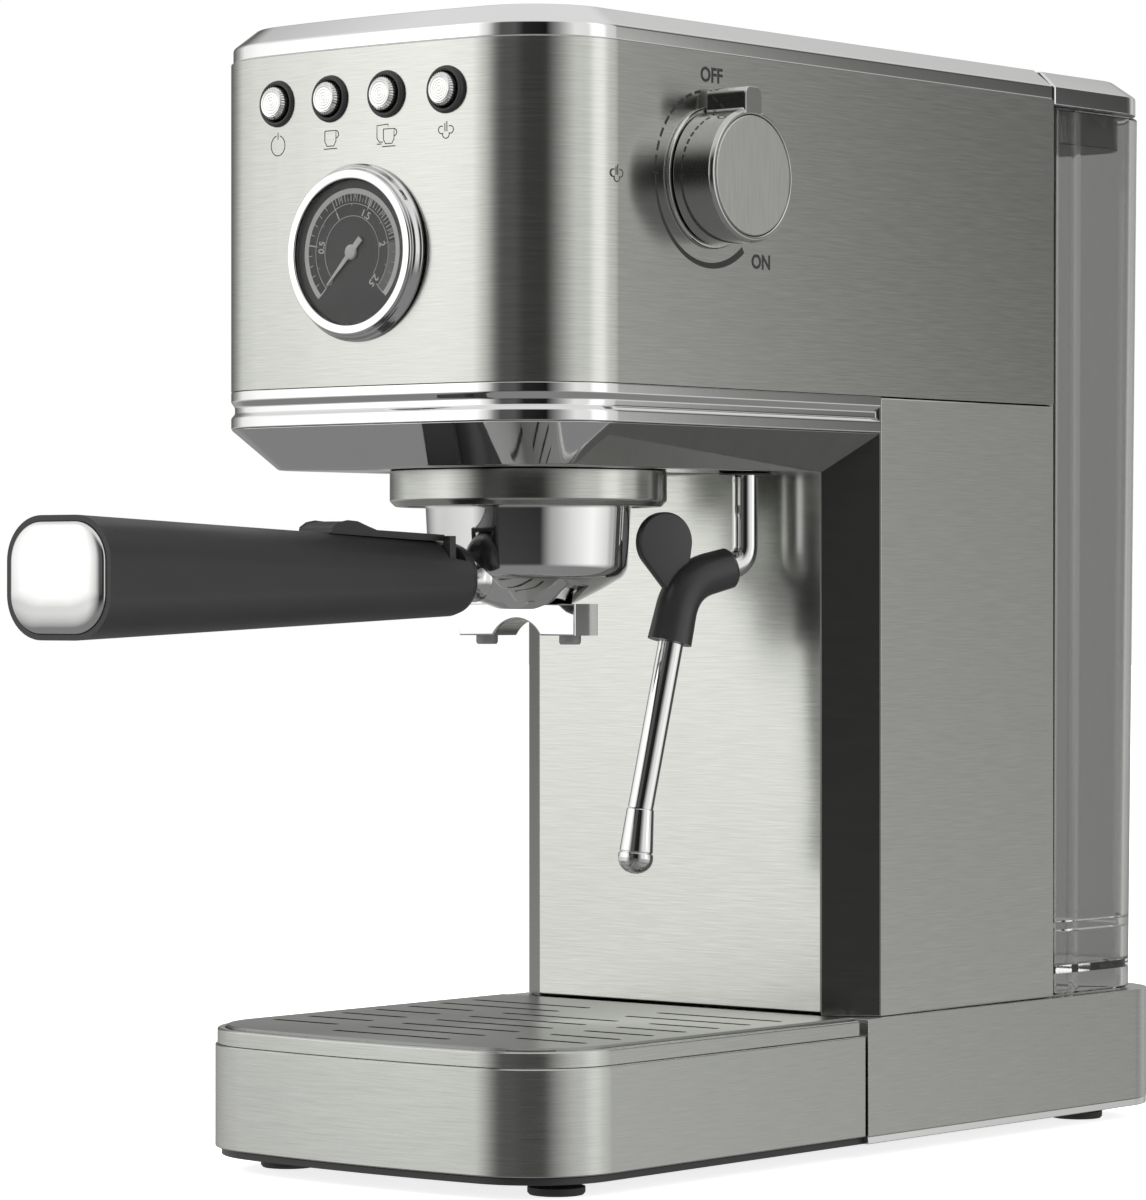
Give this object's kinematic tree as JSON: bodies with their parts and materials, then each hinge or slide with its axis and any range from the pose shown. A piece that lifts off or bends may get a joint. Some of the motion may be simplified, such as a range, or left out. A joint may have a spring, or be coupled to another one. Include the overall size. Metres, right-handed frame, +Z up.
{
  "type": "espresso machine",
  "caption": "Slim pump espresso machine: bowed steel head with pressure gauge and buttons, side steam knob, wand, locking portafilter, drip tray and rear tank.",
  "frame": {"origin": "bottom centre of the whole machine's box, on the counter plane", "axes": "+Z up, +Y to the rear along the machine's length, +X to the steam knob's side; the handle points along -Y"},
  "size_m": [0.1424, 0.4108, 0.3045],
  "materials": {
    "brushed_steel": "horizontal brushed grain",
    "dark_brushed_steel": "dark brushed, satin",
    "bright_chrome": "mirror polished plating",
    "dark_chrome": "dark polished plating",
    "stainless_pressing": "plain satin",
    "black_plastic": "fine moulded texture",
    "black_silicone": "matte silicone",
    "black_rubber": "matte rubber",
    "grey_plastic": "plain moulded",
    "smoked_plastic": "clear smoked moulding",
    "clear_lens": "polished",
    "dial_face": "printed dial",
    "needle_white": "painted",
    "circuit_board": "glass fibre board",
    "cast_aluminium": "as cast",
    "valve_brass": "machined",
    "clear_hose": "plain hose"
  },
  "bodies": {
    "housing": {"base_plate": "black_plastic", "base_rear_strip": "bright_chrome", "base_shell": "brushed_steel", "button_bezels": "black_plastic", "column_corner_strips": "dark_brushed_steel", "column_front_plate": "brushed_steel", "column_side_left": "brushed_steel", "column_side_right": "brushed_steel", "control_board": "circuit_board", "cord_gland": "black_plastic", "foot_screws": "stainless_pressing", "gauge_bezel": "bright_chrome", "gauge_case": "black_plastic", "gauge_dial": "dial_face", "gauge_lens": "clear_lens", "group_collar": "brushed_steel", "group_gasket": "black_rubber", "group_head": "cast_aluminium", "head_lower_trim": "bright_chrome", "head_shell": "brushed_steel", "head_skirt": "bright_chrome", "hot_water_pipes": "clear_hose", "intake_hose": "clear_hose", "knob_base_ring": "bright_chrome", "pressure_hose": "clear_hose", "pump_mounts": "black_rubber", "rear_panel": "black_plastic", "rubber_feet": "black_rubber", "shower_screen": "stainless_pressing", "steam_valve": "valve_brass", "tank_dock": "black_plastic", "thermoblock": "cast_aluminium", "thermostats": "valve_brass", "top_deck": "brushed_steel", "top_trim": "bright_chrome", "vibration_pump": "grey_plastic", "wand_bush": "black_plastic"},
    "portafilter": {"portafilter_body": "bright_chrome", "filter_basket": "stainless_pressing", "portafilter_spout": "bright_chrome", "spout_nozzles": "grey_plastic", "handle_grip": "black_plastic", "handle_end_cap": "bright_chrome"},
    "basket_clip": {"basket_clip": "black_plastic"},
    "steam_knob": {"steam_knob": "dark_chrome", "steam_knob_face": "brushed_steel"},
    "button_power": {"button_power": "bright_chrome"},
    "button_one_cup": {"button_one_cup": "bright_chrome"},
    "button_two_cups": {"button_two_cups": "bright_chrome"},
    "button_steam": {"button_steam": "bright_chrome"},
    "gauge_needle": {"gauge_needle": "needle_white"},
    "steam_wand": {"steam_pipe": "bright_chrome", "wand_sleeve": "black_silicone", "wand_tip": "bright_chrome"},
    "drip_tray": {"drip_tray": "brushed_steel", "tray_frame": "bright_chrome"},
    "drip_grille": {"drip_grille": "brushed_steel"},
    "water_tank": {"water_tank": "smoked_plastic", "tank_valve": "grey_plastic"},
    "tank_lid": {"tank_lid": "bright_chrome"}
  },
  "joints": [
    {"name": "portafilter_turn", "type": "hinge", "parent": "housing", "child": "portafilter", "pos_m": [-0.0063, -0.01468, 0.177], "axis": [0, 0, 1], "range_deg": [-50, 0]},
    {"name": "basket_clip_hinge", "type": "hinge", "parent": "portafilter", "child": "basket_clip", "pos_m": [-0.00323, -0.05858, 0.1656], "axis": [-0.9976, -0.0698, 0], "range_deg": [0, 35]},
    {"name": "steam_knob_turn", "type": "hinge", "parent": "housing", "child": "steam_knob", "pos_m": [0.0637, -0.01558, 0.2626], "axis": [1, 0, 0], "range_deg": [0, 215]},
    {"name": "button_power_press", "type": "slide", "parent": "housing", "child": "button_power", "axis": [0, 1, 0], "range_m": [0, 0.0015], "stiffness_N_per_m": 400},
    {"name": "button_one_cup_press", "type": "slide", "parent": "housing", "child": "button_one_cup", "axis": [0, 1, 0], "range_m": [0, 0.0015], "stiffness_N_per_m": 400},
    {"name": "button_two_cups_press", "type": "slide", "parent": "housing", "child": "button_two_cups", "axis": [0, 1, 0], "range_m": [0, 0.0015], "stiffness_N_per_m": 400},
    {"name": "button_steam_press", "type": "slide", "parent": "housing", "child": "button_steam", "axis": [0, 1, 0], "range_m": [0, 0.0015], "stiffness_N_per_m": 400},
    {"name": "gauge_needle_turn", "type": "hinge", "parent": "housing", "child": "gauge_needle", "pos_m": [-0.0063, -0.08088, 0.2424], "axis": [0, 1, 0], "range_deg": [0, 270]},
    {"name": "steam_wand_swivel", "type": "hinge", "parent": "housing", "child": "steam_wand", "pos_m": [0.0267, 0.03812, 0.19], "axis": [0, 0, 1], "range_deg": [0, 110]},
    {"name": "drip_tray_slide", "type": "slide", "parent": "housing", "child": "drip_tray", "axis": [0, -1, 0], "range_m": [0, 0.15]},
    {"name": "drip_grille_lift", "type": "slide", "parent": "drip_tray", "child": "drip_grille", "axis": [0, 0, 1], "range_m": [0, 0.03]},
    {"name": "water_tank_lift", "type": "slide", "parent": "housing", "child": "water_tank", "axis": [0, 0, 1], "range_m": [0, 0.12]},
    {"name": "tank_lid_hinge", "type": "hinge", "parent": "water_tank", "child": "tank_lid", "pos_m": [-0.0063, 0.14712, 0.3016], "axis": [1, 0, 0], "range_deg": [0, 90]}
  ]
}
